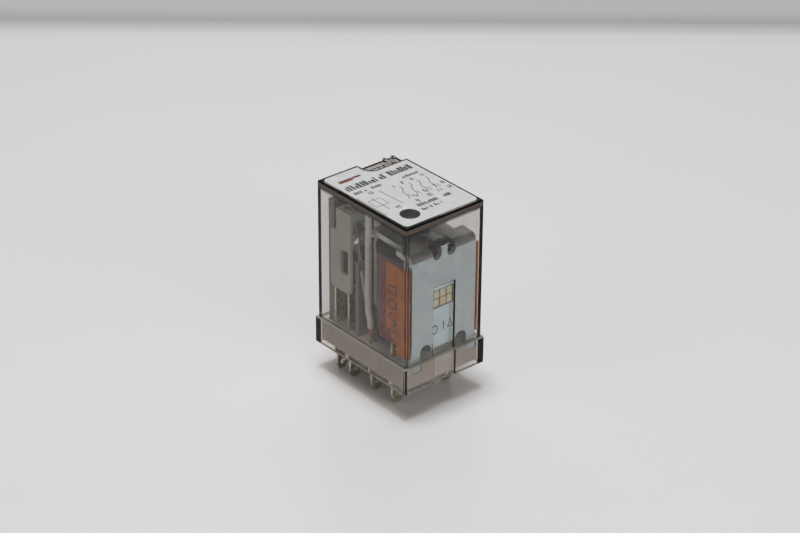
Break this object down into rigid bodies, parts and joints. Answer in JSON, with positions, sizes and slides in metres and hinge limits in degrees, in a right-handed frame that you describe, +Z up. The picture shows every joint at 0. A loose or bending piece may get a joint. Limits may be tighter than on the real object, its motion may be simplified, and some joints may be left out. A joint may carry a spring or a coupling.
{
  "type": "plug-in control relay",
  "caption": "Plug-in four pole control relay with a clear cover, an L yoke and wound coil, a hinged armature, changeover contacts and flat blades below.",
  "frame": {"origin": "centre of the seating plane, the underside of the base, which meets the socket's face", "axes": "+Z up out of the socket, +X towards the coil end, +Y along the row of poles"},
  "size_m": [0.0284, 0.021, 0.0434],
  "materials": {
    "clear_cover": "clear moulded polycarbonate with a light smoky tint",
    "label": "white printed film, satin",
    "base_plastic": "grey moulded thermoset, matt",
    "tinned_brass": "tinned brass, worn at the edges",
    "silver_alloy": "silver alloy, bright",
    "spring_bronze": "phosphor bronze strip",
    "copper": "bare copper",
    "lead_sleeving": "white woven and varnished sleeving",
    "carrier_plastic": "pale grey green moulding, matt",
    "rivet_steel": "plated steel, bright",
    "zinc_steel": "zinc plated steel, satin blue grey",
    "spring_steel": "thin stainless strip",
    "bobbin_plastic": "dark moulded nylon",
    "wire_enamel": "dark red enamelled copper wire, wound in layers",
    "coil_tape": "orange brown polyester tape",
    "cream_plastic": "cream moulding"
  },
  "bodies": {
    "frame": {"base": "base_plastic", "contact_block": "base_plastic", "nc_terminal_1": "tinned_brass", "nc_terminal_2": "tinned_brass", "nc_terminal_3": "tinned_brass", "nc_terminal_4": "tinned_brass", "no_terminal_1": "tinned_brass", "no_terminal_2": "tinned_brass", "no_terminal_3": "tinned_brass", "no_terminal_4": "tinned_brass", "com_terminal_1": "tinned_brass", "com_terminal_2": "tinned_brass", "com_terminal_3": "tinned_brass", "com_terminal_4": "tinned_brass", "coil_terminal_1": "tinned_brass", "coil_terminal_2": "tinned_brass", "nc_contact_1": "silver_alloy", "nc_contact_2": "silver_alloy", "nc_contact_3": "silver_alloy", "nc_contact_4": "silver_alloy", "no_contact_1": "silver_alloy", "no_contact_2": "silver_alloy", "no_contact_3": "silver_alloy", "no_contact_4": "silver_alloy", "lead_wire_1": "copper", "lead_wire_2": "copper", "lead_wire_3": "copper", "lead_wire_4": "copper", "lead_sleeve_1": "lead_sleeving", "lead_sleeve_2": "lead_sleeving", "lead_sleeve_3": "lead_sleeving", "lead_sleeve_4": "lead_sleeving", "hinge_spring": "spring_steel", "yoke": "zinc_steel", "core": "zinc_steel", "shading_ring": "copper", "bobbin": "bobbin_plastic", "winding": "wire_enamel", "coil_tape": "coil_tape", "coil_retainer": "cream_plastic", "coil_lead_1": "copper", "coil_lead_2": "copper"},
    "armature": {"armature": "zinc_steel", "carrier": "carrier_plastic", "spring_rivets": "rivet_steel", "moving_spring_1": "spring_bronze", "moving_spring_2": "spring_bronze", "moving_spring_3": "spring_bronze", "moving_spring_4": "spring_bronze", "moving_contact_1": "silver_alloy", "moving_contact_2": "silver_alloy", "moving_contact_3": "silver_alloy", "moving_contact_4": "silver_alloy"},
    "cover": {"cover": "clear_cover", "label": "label"}
  },
  "joints": [
    {"name": "armature_hinge", "type": "hinge", "parent": "frame", "child": "armature", "pos_m": [0.01225, 0, 0.02845], "axis": [0, -1, 0], "range_deg": [0, 3.4], "stiffness_Nm_per_rad": 0.02, "springref_deg": -17.19, "deforming": ["lead_wire_1", "lead_wire_2", "lead_wire_3", "lead_wire_4", "lead_sleeve_1", "lead_sleeve_2", "lead_sleeve_3", "lead_sleeve_4"]},
    {"name": "cover_lift", "type": "slide", "parent": "frame", "child": "cover", "axis": [0, 0, 1], "range_m": [0, 0.038]}
  ]
}
